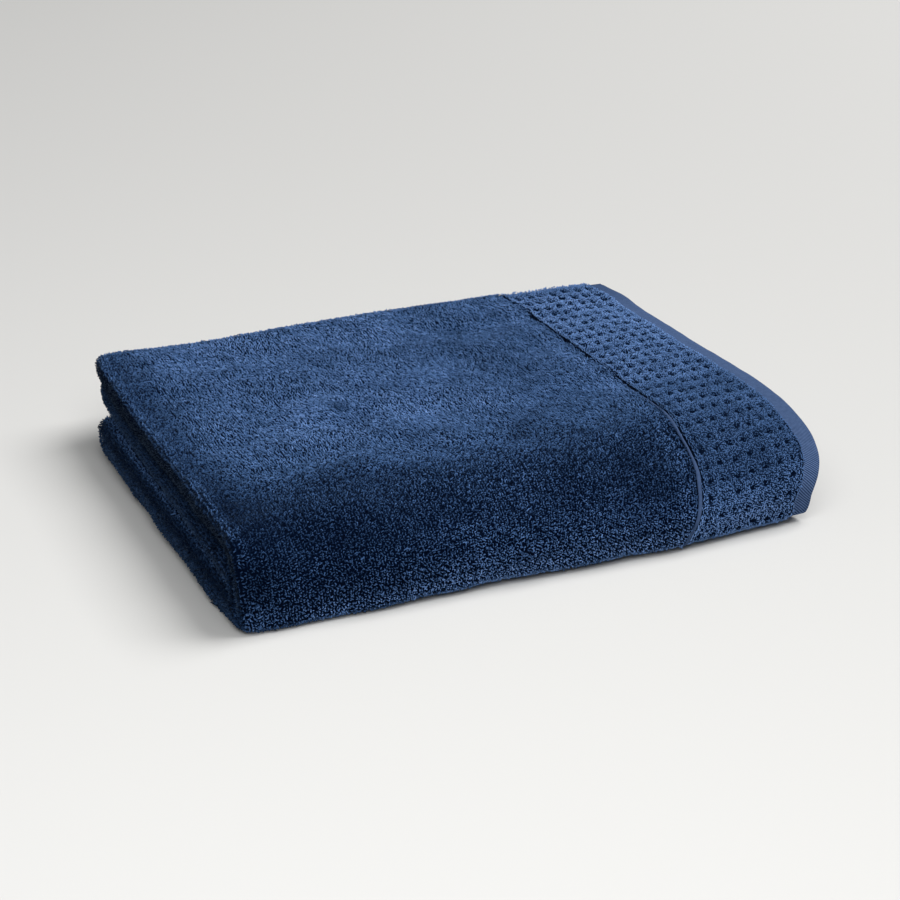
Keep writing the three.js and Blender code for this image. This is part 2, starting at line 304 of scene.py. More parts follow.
# %% The strip's line at every turn
# Where the hidden middle panel starts and ends, and the cloth's half thickness in a tight bend
MIDDLE_START, MIDDLE_END, PINCHED = 34.0, 500.0, 1.5
# Cloth to one unit of turn, roughly, and how much of its thickness the selvedge has
TURN_LENGTH, SELVEDGE_SHARE = 350, 0.55


def strip_line(turn):
    """X, depth, and how thick the cloth is over and under, for every station and turn."""
    right, hollow, square = crease_place(turn)
    terry, hem = (HALF_TERRY, HALF_TERRY), (HALF_HEM, HALF_HEM)
    rows = [(x, 0.0, over_ground(x), under_ground(x)) for x in OUTER_X]
    for angle in CREASE_ANGLES:
        across, up = rounded_square(angle, square)
        x = right - CREASE_REACH * across + hollow * np.cos(up * QUARTER_TURN)
        under = mix(HALF_TERRY, PINCHED, np.minimum(1, 2.2 * across))
        rows.append((x, LAYER_PITCH * (1 + up), HALF_TERRY - PILE, under))
    for share in np.linspace(0, 1, 14):
        rows.append((mix(MIDDLE_START, MIDDLE_END, share**1.7), 2 * LAYER_PITCH, *terry))
    radius = LAYER_PITCH / 2
    for angle in np.linspace(QUARTER_TURN, -QUARTER_TURN, 9):
        depth = LAYER_PITCH + radius * (1 + math.sin(angle))
        rows.append((INNER_FOLD + radius * math.cos(angle), depth, *terry))
    turns = math.pi * radius + 2 * (LAYER_PITCH + CREASE_REACH - radius)
    end = INNER_FOLD - (FLAT_LENGTH - (OUTER_PANEL + INNER_FOLD - 2 * right) - turns)
    for share in np.linspace(0, 1, 9):
        rows.append((mix(MIDDLE_END, end + HEM_WIDTH + 2, share), LAYER_PITCH, *terry))
    rows += [(end + HEM_WIDTH, LAYER_PITCH, *hem), (end, LAYER_PITCH, *hem)]
    return [np.array([row[i] * np.ones_like(turn) for row in rows]) for i in range(4)]


def strip_faces(turn):
    """The strip's outer and inner faces in the stack, for every station and turn."""
    x, depth, over, under = strip_line(turn)
    edge = np.minimum(turn, 3 - turn) * TURN_LENGTH
    share = mix(SELVEDGE_SHARE, 1.0, ease(edge, 3, 9))
    along_x, along_d = np.gradient(x, axis=0), np.gradient(depth, axis=0)
    size = np.hypot(along_x, along_d)
    along_x, along_d = along_x / size, along_d / size
    outer = fold(x - along_d * over * share, depth + along_x * over * share, turn)
    inner = fold(x + along_d * under * share, depth - along_x * under * share, turn)
    return outer, inner


OUTER_RAW, INNER_RAW = strip_faces(TURNS)
print("sampled", OUTER_RAW.shape[0], "stations at", OUTER_RAW.shape[1], "turns")

# %% [markdown]
# A mesh row should follow one thread of the cloth, so that loops and pits keep their true size
# round the fold. Each station's path is measured and then read again at equal lengths of cloth.

# %% Rows at equal lengths of cloth
def by_length(faces, rows):
    """Reads each station's path at the given lengths, from 0 to the cloth's full width."""
    out = np.empty((faces.shape[0], len(rows), 3))
    for i, path in enumerate(faces):
        steps = np.linalg.norm(np.diff(path, axis=0), axis=1)
        length = np.concatenate([[0], np.cumsum(steps)])
        length *= FLAT_WIDTH / length[-1]
        for axis in range(3):
            out[i, :, axis] = np.interp(rows, length, path[:, axis])
    return out


SEEN_WIDTH = 620.0
ROWS = np.concatenate([
    np.linspace(0, SEEN_WIDTH, 249), np.linspace(SEEN_WIDTH, FLAT_WIDTH, 24)[1:],
])
# The row that the cloth's length is measured along
MEASURED_ROW = 60
outer_face = by_length(OUTER_RAW, ROWS)
inner_face = by_length(INNER_RAW, ROWS)

# Place across the cloth, and how far the hem wavers out or in there
HEM_SWAY = [
    (0, -2), (50, 1), (100, -0.7), (200, -1), (300, 2.3), (400, -4), (470, 0), (490, -1),
    (520, -7),
]
# How far the back corner is drawn to the left at the groove, how much less at the hem, and how far
# the groove bends to the left on the front
CORNER_DRAWN, LESS_AT_HEM, GROOVE_BEND = 8, 3, 3.5
woven_x, woven_w = OUTER_X[:, None], ROWS[None, :]
sway = read(HEM_SWAY, woven_w, 1) * ease(woven_x, 505, 530)
drawn = CORNER_DRAWN * ease(woven_x, 300, GROOVE) - LESS_AT_HEM * ease(woven_x, GROOVE, OUTER_PANEL)
sway = sway - (1 - ease(woven_w, 8, 52)) * drawn
bend = GROOVE_BEND * ease(woven_w, 340, 390) * (1 - ease(woven_w, 440, 500))
sway = sway - bend * bell(woven_x - GROOVE, 40)
for face in (outer_face, inner_face):
    face[:len(OUTER_X), :, 0] += sway
steps_along = np.linalg.norm(np.diff(outer_face[:, MEASURED_ROW], axis=0), axis=1)
ALONG = np.concatenate([[0], np.cumsum(steps_along)])
SEEN_STATIONS = len(OUTER_X) + len(CREASE_ANGLES)
print(len(ROWS), "rows; the strip measures", round(ALONG[-1]), "mm along its outer face")

# %% [markdown]
# Now the relief of the ground. Slow, uneven rises come from sums of plane waves with a fixed seed:
# they repeat nowhere on the cloth and cost nothing. The border's pits stand in seven columns, 13 mm
# apart, and in rows about 18 mm apart, each a small round hollow a little out of line, as in a
# woven waffle. Round the front the pits are stretched shallow, a second faint groove shows beside
# the first, and the edge of the terry rolls up into a thin rim.

# %% Waves and pits
WAVE_COUNT = 20


def waves(u, v, length, seed):
    """An uneven surface with about unit height and bumps of the given length."""
    dice = np.random.default_rng(seed)
    total = np.zeros(np.broadcast(u, v).shape)
    for _ in range(WAVE_COUNT):
        heading = dice.uniform(0, math.pi)
        pitch = 2 * math.pi / (length * dice.uniform(0.7, 1.5))
        shift = dice.uniform(0, 6.3)
        total += np.cos((u * math.cos(heading) + v * math.sin(heading)) * pitch + shift)
    return total / math.sqrt(WAVE_COUNT / 2)


PIT_COLUMNS = GROOVE + 10 + 12.9 * np.arange(7)
PIT_ROWS = np.interp(np.arange(49), [0, 3, 7, 14, 20, 26, 48], [20, 67, 144, 265, 388, 500, 884])
# How far a pit lies out of line, and its radius, along the cloth and across it
PIT_SCATTER, PIT_SIZE = (0.6, 0.9), (3.9, 4.8)


def pit_places():
    dice = np.random.default_rng(7)
    places = zip(np.meshgrid(PIT_COLUMNS, PIT_ROWS, indexing="ij"), PIT_SCATTER)
    return [place + dice.normal(0, scatter, place.shape) for place, scatter in places]


PIT_X, PIT_W = pit_places()


def pit_depth(x, w):
    """How deep in a pit a place of the border lies, from 0 to 1."""
    deep = np.zeros(np.broadcast(x, w).shape)
    for pit_x, pit_w in zip(PIT_X.ravel(), PIT_W.ravel()):
        near = np.hypot((x - pit_x) / PIT_SIZE[0], (w - pit_w) / PIT_SIZE[1])
        deep = np.maximum(deep, 1 - ease(near, 0.45, 1.3))
    return deep


print("pits:", PIT_X.size)

# %% Relief of the outer face
def unit(vectors):
    return vectors / np.linalg.norm(vectors, axis=-1, keepdims=True)


def face_normals(grid):
    return unit(np.cross(np.gradient(grid, axis=0), np.gradient(grid, axis=1)))


def station_x():
    """A flat X for each seen station: below the crease it runs on past zero."""
    start = ALONG[len(OUTER_X) - 1]
    return np.concatenate([OUTER_X, CREASE_START - (ALONG[len(OUTER_X):SEEN_STATIONS] - start)])


def on_front(w):
    """0 where the cloth lies on the top, 1 where it has turned down at the front."""
    return ease(w, 330, 400)


def rim_share(w):
    """How far the terry has rolled up into its rim by the groove."""
    return ease(w, 270, 390)


# How far round the front, measured across the cloth, the loops are grown
WIDE_END = 530.0
# Depth of the pits on the top and on the front; the second groove's place and depth; the rim's rise
PIT_DEPTHS = (3.0, 1.3)
SECOND_GROOVE, SECOND_DEPTH = GROOVE + 9.5, 1.2
RIM_RISE = 1.8
FLAT_X = station_x()
flat_x, flat_w = FLAT_X[:, None], ROWS[None, :]
relief = 0.7 * waves(flat_x, flat_w, 80, 1) + 0.2 * waves(flat_x, flat_w, 24, 2)
in_border = ease(flat_x, GROOVE + 4, GROOVE + 7) * (1 - ease(flat_x, HEM_INNER - 6, HEM_INNER - 3))
relief = relief * mix(1.0, 0.45, ease(flat_x, GROOVE - 4, GROOVE + 4))
pits = pit_depth(flat_x, flat_w)
relief = relief - mix(*PIT_DEPTHS, on_front(flat_w)) * in_border * pits
relief = relief - SECOND_DEPTH * bell(flat_x - SECOND_GROOVE, 1.5) * ease(flat_w, 350, 400)
on_rim = ease(flat_x, GROOVE - 3.0, GROOVE - 1.7) * (1 - ease(flat_x, GROOVE - 0.9, GROOVE + 0.4))
relief = relief + RIM_RISE * on_rim * rim_share(flat_w)
crease_end = 1 - ease(-flat_x, 15, 38)
relief = relief * crease_end * ease(np.minimum(flat_w, FLAT_WIDTH - flat_w), 0, 14)
# Where no loops are grown, the ground itself rises by the height of the pile
bare = ease(flat_w, WIDE_END - 25, WIDE_END + 10) * ease(flat_x, 8, 30)
raised = mix(PILE, BORDER_PILE, in_border) * (1 - ease(flat_x, HEM_INNER - 6, HEM_INNER))
relief = mix(relief, raised, bare)
ground = outer_face.copy()
normals = face_normals(outer_face)[:SEEN_STATIONS]
ground[:SEEN_STATIONS] += relief[..., None] * normals
# Nothing goes below the floor
ground[..., 2] = np.maximum(ground[..., 2], 0.0)
print("relief from", round(relief.min(), 2), "to", round(relief.max(), 2), "mm")

# %% [markdown]
# The body is one closed mesh: the outer face, the inner face back again, and the selvedges at both
# ends. The inner face keeps only some stations, since it is hidden, so the strips that join the
# two faces have corners with a few more points on one side. Each face also remembers its place on
# the flat cloth in a UV map, in metres, so that a weave can follow the threads round every fold.

# %% The cloth as one closed mesh
STATIONS = ground.shape[0]
# The inner face's stations: each fourth, those by the hem and the groove, and all hidden ones
BY_HEM, BY_GROOVE = range(5, 15), range(60, 80)
kept = [
    i for i in range(STATIONS)
    if i % 4 == 0 or i in BY_HEM or i in BY_GROOVE or i >= SEEN_STATIONS
]


def build_cloth():
    rows = len(ROWS)
    outer = ground.transpose(1, 0, 2).reshape(-1, 3)
    inner = inner_face[kept].transpose(1, 0, 2).reshape(-1, 3)
    outer_id = np.arange(rows * STATIONS).reshape(rows, STATIONS)
    inner_id = rows * STATIONS + np.arange(rows * len(kept)).reshape(rows, len(kept))
    faces = quads(outer_id) + [face[::-1] for face in quads(inner_id)]
    for row in (0, rows - 1):
        for k in range(len(kept) - 1):
            face = [*outer_id[row, kept[k]:kept[k + 1] + 1], inner_id[row, k + 1], inner_id[row, k]]
            faces.append(face[::-1] if row == 0 else face)
    for station, k in ((0, 0), (STATIONS - 1, len(kept) - 1)):
        for row in range(rows - 1):
            face = [*outer_id[row:row + 2, station], inner_id[row + 1, k], inner_id[row, k]]
            faces.append(face if station == 0 else face[::-1])
    return np.vstack([outer, inner]), faces


def quads(ids):
    a, b, c, d = ids[:-1, :-1], ids[:-1, 1:], ids[1:, 1:], ids[1:, :-1]
    return np.stack([a, b, c, d], axis=-1).reshape(-1, 4).tolist()


SHIFT = np.array([CAD_HIGH[0] / MM - OUTER_PANEL, CAD_HIGH[1] / MM - UPPER_BACK, 0.0])


def make_mesh(name, points, faces):
    mesh = bpy.data.meshes.new(name)
    mesh.from_pydata(((points + SHIFT) * MM).tolist(), [], faces)
    mesh.update()
    piece = bpy.data.objects.new(name, mesh)
    bpy.context.scene.collection.objects.link(piece)
    return piece


def on_points(values):
    """A value of each station, for every point of the mesh."""
    return np.concatenate([np.tile(values, len(ROWS)), np.tile(values[kept], len(ROWS))])


# Hidden stations have no flat X of their own, so they get one far from the hem
HIDDEN_X = -100.0
points, faces = build_cloth()
cloth = make_mesh("cloth", points, faces)
u_of = on_points(ALONG)
x_of = on_points(np.concatenate([FLAT_X, np.full(STATIONS - SEEN_STATIONS, HIDDEN_X)]))
w_of = np.concatenate([np.repeat(ROWS, STATIONS), np.repeat(ROWS, len(kept))])
corners = np.empty(len(cloth.data.loops), dtype=int)
cloth.data.loops.foreach_get("vertex_index", corners)
flat_map = cloth.data.uv_layers.new(name="flat")
flat_map.data.foreach_set("uv", np.stack([u_of[corners], w_of[corners]], axis=1).ravel() * MM)
cloth.data.polygons.foreach_set("use_smooth", np.ones(len(cloth.data.polygons), dtype=bool))
ground_shade = np.zeros(len(points))
# Painted shade on the ground: nearly black under the loops and in the border's pits, a little
# lighter between the border's loops, and none where no loops are grown
shaded = (1 - bare) * (1 - 0.35 * in_border * (1 - pits))
ground_shade[:len(ROWS) * STATIONS].reshape(len(ROWS), STATIONS)[:, :SEEN_STATIONS] = shaded.T
cloth.data.attributes.new("ground_shade", "FLOAT", "POINT").data.foreach_set("value", ground_shade)
print("cloth:", len(cloth.data.polygons), "faces")

# %% [markdown]
# The pile is what makes terry. Each loop is a short bent yarn, and some 66,000 of them cover what
# shows. A hair system would give straight fibres and a bump map would give a flat outline, so each
# loop is a small mesh of its own, set out by Geometry Nodes. First, where do they stand? In rows
# about 2 mm apart that are never quite regular, each with a direction to stand in and one to lie
# in.

# %% Reading the ground between its rows
# How far a loop stands out of its row
JITTER = 0.35


def read_grid(grid, x, w):
    """Reads a grid of stations and rows at places of the flat cloth."""
    station = np.interp(-x, -FLAT_X, np.arange(SEEN_STATIONS))
    row = np.interp(w, ROWS, np.arange(len(ROWS)))
    i = np.clip(station.astype(int), 0, SEEN_STATIONS - 2)
    j = np.clip(row.astype(int), 0, len(ROWS) - 2)
    a, b = (station - i)[:, None], (row - j)[:, None]
    near = mix(grid[i, j], grid[i, j + 1], b)
    far = mix(grid[i + 1, j], grid[i + 1, j + 1], b)
    return mix(near, far, a)


NORMALS = face_normals(ground[:SEEN_STATIONS])
DOWNWARDS = unit(np.gradient(ground[:SEEN_STATIONS], axis=1))


def loop_rows(x_from, x_to, w_from, w_to, pitch, seed):
    """Places for loops in rows, every other one shifted by half a step, and the dice."""
    dice = np.random.default_rng(seed)
    stations, steps = np.arange(x_from, x_to, pitch[0]), np.arange(w_from, w_to, pitch[1])
    x, w = np.meshgrid(stations, steps, indexing="ij")
    w = w + (np.arange(x.shape[0]) % 2)[:, None] * pitch[1] / 2
    x = x + dice.normal(0, JITTER, x.shape)
    return x.ravel(), (w + dice.normal(0, JITTER, x.shape)).ravel(), dice


print("normals and threads read at", NORMALS.shape[:2])

# %% [markdown]
# A loop lies down where hands have smoothed the towel, on the top, and stands up short and curly
# where nothing has pressed it, round the front and at the crease. Slow waves turn the pile a
# little here and there. Each loop also gets a tone, read from a short table across the cloth, and
# the tone holds painted light and shade: lighter on the top, darker over the front and most of all
# towards its left end, darker in the border's pits and on the left end under the crease, and
# lighter along the crease's edge, beside the groove and along the bottom edge, which the floor
# lights. A few small darker spots are set on the pile, and a little chance on top keeps
# neighbours apart.

# %% A carrier: one point for each loop
FULL_TONE = 1.5
# How far a loop swings out of line, in radians, and how far it tilts, standing and lying
SWING, TILTS = 0.24, (0.2, 0.08)
SIZE_RANGE = (0.82, 1.2)


def make_carrier(name, x, w, dice, lying, turned, size, tone, uneven):
    """A mesh of points that carry the loops' directions, kinds, sizes and tones."""
    place = read_grid(ground[:SEEN_STATIONS], x, w)
    stand = unit(read_grid(NORMALS, x, w))
    down = unit(read_grid(DOWNWARDS, x, w))
    side = np.cross(stand, down)
    swing = turned + dice.normal(0, SWING, len(x))
    swing = swing + (1 - lying) * dice.uniform(-math.pi, math.pi, len(x))
    nap = down * np.cos(swing)[:, None] + side * np.sin(swing)[:, None]
    outward = stand
    stand = unit(stand + mix(*TILTS, lying)[:, None] * dice.normal(0, 1, (len(x), 3)))
    curled = dice.uniform(0, 1, len(x)) > 0.05 + 0.93 * lying
    kind = dice.integers(0, 3, len(x)) + 3 * curled
    grown = size * dice.uniform(*SIZE_RANGE, len(x))
    carrier = make_mesh(name, place, [])
    tones = np.clip(tone * (1 + uneven * dice.normal(0, 1, len(x))), 0, FULL_TONE)
    columns = [
        ("stand", "FLOAT_VECTOR", stand), ("nap", "FLOAT_VECTOR", nap), ("kind", "INT", kind),
        ("outward", "FLOAT_VECTOR", outward), ("grown", "FLOAT", grown), ("tone", "FLOAT", tones),
    ]
    for title, kind_of, values in columns:
        data = carrier.data.attributes.new(title, kind_of, "POINT").data
        data.foreach_set("vector" if kind_of == "FLOAT_VECTOR" else "value", np.ravel(values))
    return carrier


# Distance of the loops along the cloth and across it
TOP_PITCH = (2.6, 1.9)
FRONT_PITCH = (2.5, 2.2)
CREASE_PITCH = (2.5, 2.2)
BORDER_PITCH = (1.85, 1.85)
# Where the first and the second set of loops on the top end, measured across the cloth
TOP_HALF, FRONT_START = 185.0, 365.0
# Place across the cloth, and tone there, of the terry and of the border: painted light and shade,
# light on the top and along the bottom edge, which the floor lights, and dark over the front
TERRY_TONE_AND_SHADE = [
    (0, 0.74), (60, 0.74), (95, 0.62), (170, 0.62), (250, 0.65), (320, 0.51), (350, 0.41),
    (380, 0.35), (440, 0.29), (470, 0.45), (487, 0.8), (500, 1.4),
]
BORDER_TONE_AND_SHADE = [
    (0, 0.8), (40, 1.15), (95, 1.05), (250, 0.93), (295, 0.64), (440, 0.56), (470, 0.85),
    (500, 1.4),
]
# Small darker spots on the pile: X, place across, half widths, how much darker
DARKER_SPOTS = [
    (103, 88, 16, 7, 0.2), (168, 212, 7, 11, 0.4), (347, 70, 16, 9, 0.2), (347, 353, 12, 8, 0.2),
    (129, 341, 14, 7, 0.2), (294, 338, 12, 7, 0.2), (370, 406, 14, 9, 0.15),
]


def terry_tone_and_shade(x, w):
    """How light a loop of the terry is, by where it grows on the flat cloth: painted light and
    shade.
    """
    tone = read(TERRY_TONE_AND_SHADE, w, 1) * (1 + 0.06 * waves(x, w, 90, 12) + 0.05 * waves(x, w, 28, 13))
    # Painted shade: the front darker towards its left end, away from the big light
    tone = tone * (1 - 0.43 * ease(w, 340, 380) * (1 - ease(x, 60, 300)))
    # Painted light: lighter patches in the middle of the top and of the front
    tone = tone * (1 + 0.12 * bell(x - 210, 90) * (bell(w - 225, 60) + bell(w - 440, 50)))
    for spot_x, spot_w, wide, deep, darker in DARKER_SPOTS:
        tone = tone - darker * bell(x - spot_x, wide) * bell(w - spot_w, deep)
    # Painted shade: darker beside the left crease, more on the top than round the front
    round_front = ease(w, 390, 450)
    tone = tone * (1 - mix(0.6, 0.2, round_front) * bell(x - 12, 24))
    # Painted shade: darker towards the hem end
    tone = tone * (1 - 0.19 * ease(x, 250, 340))
    # Painted highlight: a lighter band beside the groove
    tone = tone + 0.16 * bell(x - 418, 9)
    # Painted highlight: a light line along the crease's edge where it turns to the front
    tone = tone + 0.2 * ease(w, 300, 340) * (1 - ease(w, 440, 470)) * bell(x - 1, 4)
    # Painted shade on the left end, below the crease: nearly black just under its edge and lighter
    # further down, and towards the front round a dark line and then a lighter ridge
    upper_face = 0.16 * ease(-x, 18, 28) + 0.1 * ease(-x, 34, 40)
    lower_face = 0.22 - 0.18 * bell(x + 28, 6) + 0.34 * ease(-x, 33, 38)
    return mix(tone, mix(upper_face, lower_face, ease(w, 440, 500)), ease(-x, 2, 5))


def body_loops(name, x_from, x_to, w_from, w_to, pitch, seed):
    x, w, dice = loop_rows(x_from, x_to, w_from, w_to, pitch, seed)
    keep = (x < GROOVE - mix(1.5, 1.9, rim_share(w))) & (w > 1.0) & (w < FLAT_WIDTH - 1)
    x, w = x[keep], w[keep]
    lying = (1 - ease(w, 300, 400)) * ease(x, -2, 40)
    turned = (0.15 + 0.14 * waves(x, w, 120, 11)) * ease(-x, 3 - GROOVE, 8 - GROOVE)
    uneven = 0.32 + 0.24 * bell(w - 415, 45)
    size = mix(1.2, 1.0, ease(x, -5, 15))
    return make_carrier(name, x, w, dice, lying, turned, size, terry_tone_and_shade(x, w), uneven)


def border_loops(name, seed):
    x, w, dice = loop_rows(
        GROOVE + 3.1, HEM_INNER - 0.8, 0.8, WIDE_END - 2, BORDER_PITCH, seed,
    )
    deep = pit_depth(x, w)
    keep = (w > 0.3) & (deep < mix(0.7, 0.95, on_front(w)))
    keep = keep & ((np.abs(x - SECOND_GROOVE) > 0.8) | (w < 385))
    x, w, deep = x[keep], w[keep], deep[keep]
    tone = read(BORDER_TONE_AND_SHADE, w, 1) * (1 + 0.06 * waves(x, w, 40, 14))
    # Painted shade: the border's loops darker in and round its pits
    tone = tone * (1 - mix(0.65, 0.4, on_front(w)) * deep)
    size = 0.62 + 0.35 * (1 - ease(w, 1, 5))
    beside = 1 - ease(x, GROOVE + 4.5, GROOVE + 6.5)
    lying, turned = 0.5 + 0.5 * beside, 0.3 - 0.3 * beside
    return make_carrier(name, x, w, dice, lying, turned, size, tone, 0.16)


carriers = [
    body_loops("loops_top_back", CREASE_START, GROOVE, 1.5, TOP_HALF, TOP_PITCH, 21),
    body_loops("loops_top_front", CREASE_START, GROOVE, TOP_HALF, FRONT_START, TOP_PITCH, 22),
    body_loops("loops_front", CREASE_START, GROOVE, FRONT_START, WIDE_END, FRONT_PITCH, 23),
    body_loops(
        "loops_crease", FLAT_X[-1] + 1, CREASE_START, 1.5, FLAT_WIDTH - 1.5, CREASE_PITCH, 24,
    ),
    border_loops("loops_border", 25),
]
print("loops:", {c.name: len(c.data.vertices) for c in carriers})

# %% [markdown]
# Node trees read better when a step takes one line. `Tree.add` makes a node, sets its settings and
# joins its inputs, and `Number` wraps a socket, so that `a * b + 1` on sockets adds Math nodes by
# itself. The same two classes serve the geometry trees here and the materials further down.

# %% A short way to write node trees
class Number:
    """A number in a node tree. Arithmetic on it adds Math nodes."""

    def __init__(self, tree, socket):
        self.tree, self.socket = tree, socket

    def maths(self, operation, first, second):
        node = self.tree.add("ShaderNodeMath", {"operation": operation}, {0: first, 1: second})
        return Number(self.tree, node.outputs[0])

    def __add__(self, other):
        return self.maths("ADD", self, other)

    def __sub__(self, other):
        return self.maths("SUBTRACT", self, other)

    def __rsub__(self, other):
        return self.maths("SUBTRACT", other, self)

    def __mul__(self, other):
        return self.maths("MULTIPLY", self, other)

    __radd__ = __add__
    __rmul__ = __mul__


class Tree:
    """Adds nodes to a tree: a type, its settings, and the values or links of its inputs."""

    def __init__(self, tree):
        self.tree = tree

    def add(self, kind, settings=None, inputs=None):
        node = self.tree.nodes.new(kind)
        for name, value in (settings or {}).items():
            setattr(node, name, value)
        for name, value in (inputs or {}).items():
            self.join(node.inputs[name], value)
        return node

    def join(self, socket, value):
        if isinstance(value, Number):
            value = value.socket
        if isinstance(value, bpy.types.NodeSocket):
            self.tree.links.new(value, socket)
        else:
            socket.default_value = value

    def number(self, kind, output, settings=None, inputs=None):
        return Number(self, self.add(kind, settings, inputs).outputs[output])


print("tree helpers are ready")

# %% [markdown]
# The tree bends six yarns, three that lie and three that curl, from one Bezier curve each with a
# three-sided section, so a loop has only 12 triangles. It puts one on each carrier point, turned to
# its directions and scaled to its size, and keeps two numbers on it for the material: its own tone,
# and how high on the yarn a place is.

# %% The loops' tree
# Start, middle and end of each yarn's bend, and the height that counts as its top
YARNS = [
    ((-0.6, 0.0, -0.5), (0.5, 0.1, 4.0), (3.6, 0.0, 1.4), 1.5),
    ((-0.5, 0.2, -0.5), (0.4, -0.5, 3.8), (3.2, 0.5, 1.6), 1.5),
    ((-0.5, -0.2, -0.5), (0.6, 0.6, 3.7), (3.4, -0.4, 1.3), 1.5),
    ((-1.0, -0.4, 0.5), (0.1, 0.8, 4.2), (1.1, -0.3, 0.8), 2.2),
    ((-1.1, 0.3, 0.6), (0.0, -0.8, 3.9), (1.0, 0.4, 0.7), 2.2),
    ((-0.8, 0.4, 0.4), (-0.2, -0.2, 4.4), (1.2, -0.4, 0.9), 2.2),
]
YARN_RADIUS = {
    "loops_top_back": 0.42, "loops_top_front": 0.42, "loops_front": 0.45, "loops_crease": 0.45,
    "loops_border": 0.55,
}
# Sides of a yarn's section, and points along its bend
SIDES, BENDS = 3, 3
PILE_INPUTS = {
    "Geometry": "Geometry", "Yarn radius": "Float", "Size": "Float", "Size change": "Float",
    "Seed": "Int", "Finish": "Material",
}


def pile_tree():
    group = bpy.data.node_groups.new("terry_pile", "GeometryNodeTree")
    face = group.interface
    for name, kind in PILE_INPUTS.items():
        face.new_socket(name, in_out="INPUT", socket_type="NodeSocket" + kind)
    face.new_socket("Geometry", in_out="OUTPUT", socket_type="NodeSocketGeometry")
    tree = Tree(group)
    given = tree.add("NodeGroupInput").outputs
    section = tree.add("GeometryNodeCurvePrimitiveCircle", None, {
        "Resolution": SIDES, "Radius": given["Yarn radius"],
    })
    yarns = tree.add("GeometryNodeJoinGeometry")
    for start, middle, end, full in reversed(YARNS):
        bend = tree.add("GeometryNodeCurveQuadraticBezier", None, {
            "Resolution": BENDS,
            "Start": [c * MM for c in start],
            "Middle": [c * MM for c in middle],
            "End": [c * MM for c in end],
        })
        position = tree.add("GeometryNodeInputPosition").outputs[0]
        height = tree.number("ShaderNodeSeparateXYZ", 2, None, {0: position})
        short = tree.add("GeometryNodeResampleCurve", None, {
            "Curve": bend.outputs[0], "Count": BENDS,
        })
        at_points = {"data_type": "FLOAT", "domain": "POINT"}
        kept_rise = tree.add("GeometryNodeStoreNamedAttribute", at_points, {
            "Geometry": short.outputs[0], "Name": "rise", "Value": height * (1 / (full * MM)),
        })
        tube = tree.add("GeometryNodeCurveToMesh", None, {
            "Curve": kept_rise.outputs[0], "Profile Curve": section.outputs["Curve"],
        })
        one = tree.add("GeometryNodeGeometryToInstance", None, {"Geometry": tube.outputs[0]})
        group.links.new(one.outputs[0], yarns.inputs[0])

    def named(name, kind):
        node = tree.add("GeometryNodeInputNamedAttribute", {"data_type": kind}, {"Name": name})
        return node.outputs["Attribute"]

    axes = {"primary_axis": "Z", "secondary_axis": "X"}
    facing = tree.add("FunctionNodeAxesToRotation", axes, {
        "Primary Axis": named("stand", "FLOAT_VECTOR"),
        "Secondary Axis": named("nap", "FLOAT_VECTOR"),
    })
    size = Number(tree, given["Size"])
    change = tree.number("FunctionNodeRandomValue", 1, {"data_type": "FLOAT"}, {
        2: size - given["Size change"], 3: size + given["Size change"], "Seed": given["Seed"],
    })
    grown = change * named("grown", "FLOAT")
    placed = tree.add("GeometryNodeInstanceOnPoints", None, {
        "Points": given["Geometry"], "Instance": yarns.outputs[0], "Pick Instance": True,
        "Instance Index": named("kind", "INT"), "Rotation": facing.outputs[0], "Scale": grown,
    })
    real = tree.add("GeometryNodeRealizeInstances", None, {"Geometry": placed.outputs[0]})
    smooth = tree.add("GeometryNodeSetShadeSmooth", None, {"Geometry": real.outputs[0]})
    done = tree.add("GeometryNodeSetMaterial", None, {
        "Geometry": smooth.outputs[0], "Material": given["Finish"],
    })
    tree.add("NodeGroupOutput", None, {"Geometry": done.outputs[0]})
    return group


terry_pile = pile_tree()
print("inputs:", [s.name for s in terry_pile.interface.items_tree if s.in_out == "INPUT"])

# %% [markdown]
# Now the finishes. Dyed cotton is dark in itself, and it looks lighter where light grazes the
# fibres that stand off the yarn: that is the sheen, and a little of it is enough. The loops are
# darkest at their roots, a painted shade, as little light gets down there, and each has its own
# tone, which carries painted light and shade as well. The border's loops are shorter and closer,
# so light reaches their roots and their painted root shade is lighter.

# %% A material and its helpers
class Finish(Tree):
    """A new material, its tree and its main shader."""

    def __init__(self, name, **constants):
        self.material = bpy.data.materials.new(name)
        self.material.use_nodes = True
        super().__init__(self.material.node_tree)
        self.shader = self.tree.nodes["Principled BSDF"]
        for socket, value in constants.items():
            self.shader.inputs[socket.replace("_", " ")].default_value = value

    def blend(self, share, first, second):
        node = self.add("ShaderNodeMix", {"data_type": "RGBA"}, {0: share, 6: first, 7: second})
        return node.outputs[2]

    def kept(self, name):
        return self.number("ShaderNodeAttribute", "Fac", {"attribute_name": name})

    def flat_place(self):
        return self.add("ShaderNodeUVMap", {"uv_map": "flat"}).outputs[0]

    def ramp(self, value, start, end, low=0.0, high=1.0):
        """Runs smoothly from low to high while the value runs from start to end."""
        return self.number("ShaderNodeMapRange", 0, {"interpolation_type": "SMOOTHSTEP"}, {
            "Value": value, "From Min": start, "From Max": end, "To Min": low, "To Max": high,
        })

    def colour(self, value):
        self.join(self.shader.inputs["Base Color"], value)

    def relief(self, height, depth):
        bump = self.add("ShaderNodeBump", None, {
            "Strength": 0.7, "Distance": depth * MM, "Height": height,
        })
        self.join(self.shader.inputs["Normal"], bump.outputs[0])


COTTON = {
    "Roughness": 0.95, "Specular_IOR_Level": 0.0, "Sheen_Weight": 0.15, "Sheen_Roughness": 0.4,
    "Sheen_Tint": (0.42, 0.66, 1.0, 1.0),
}
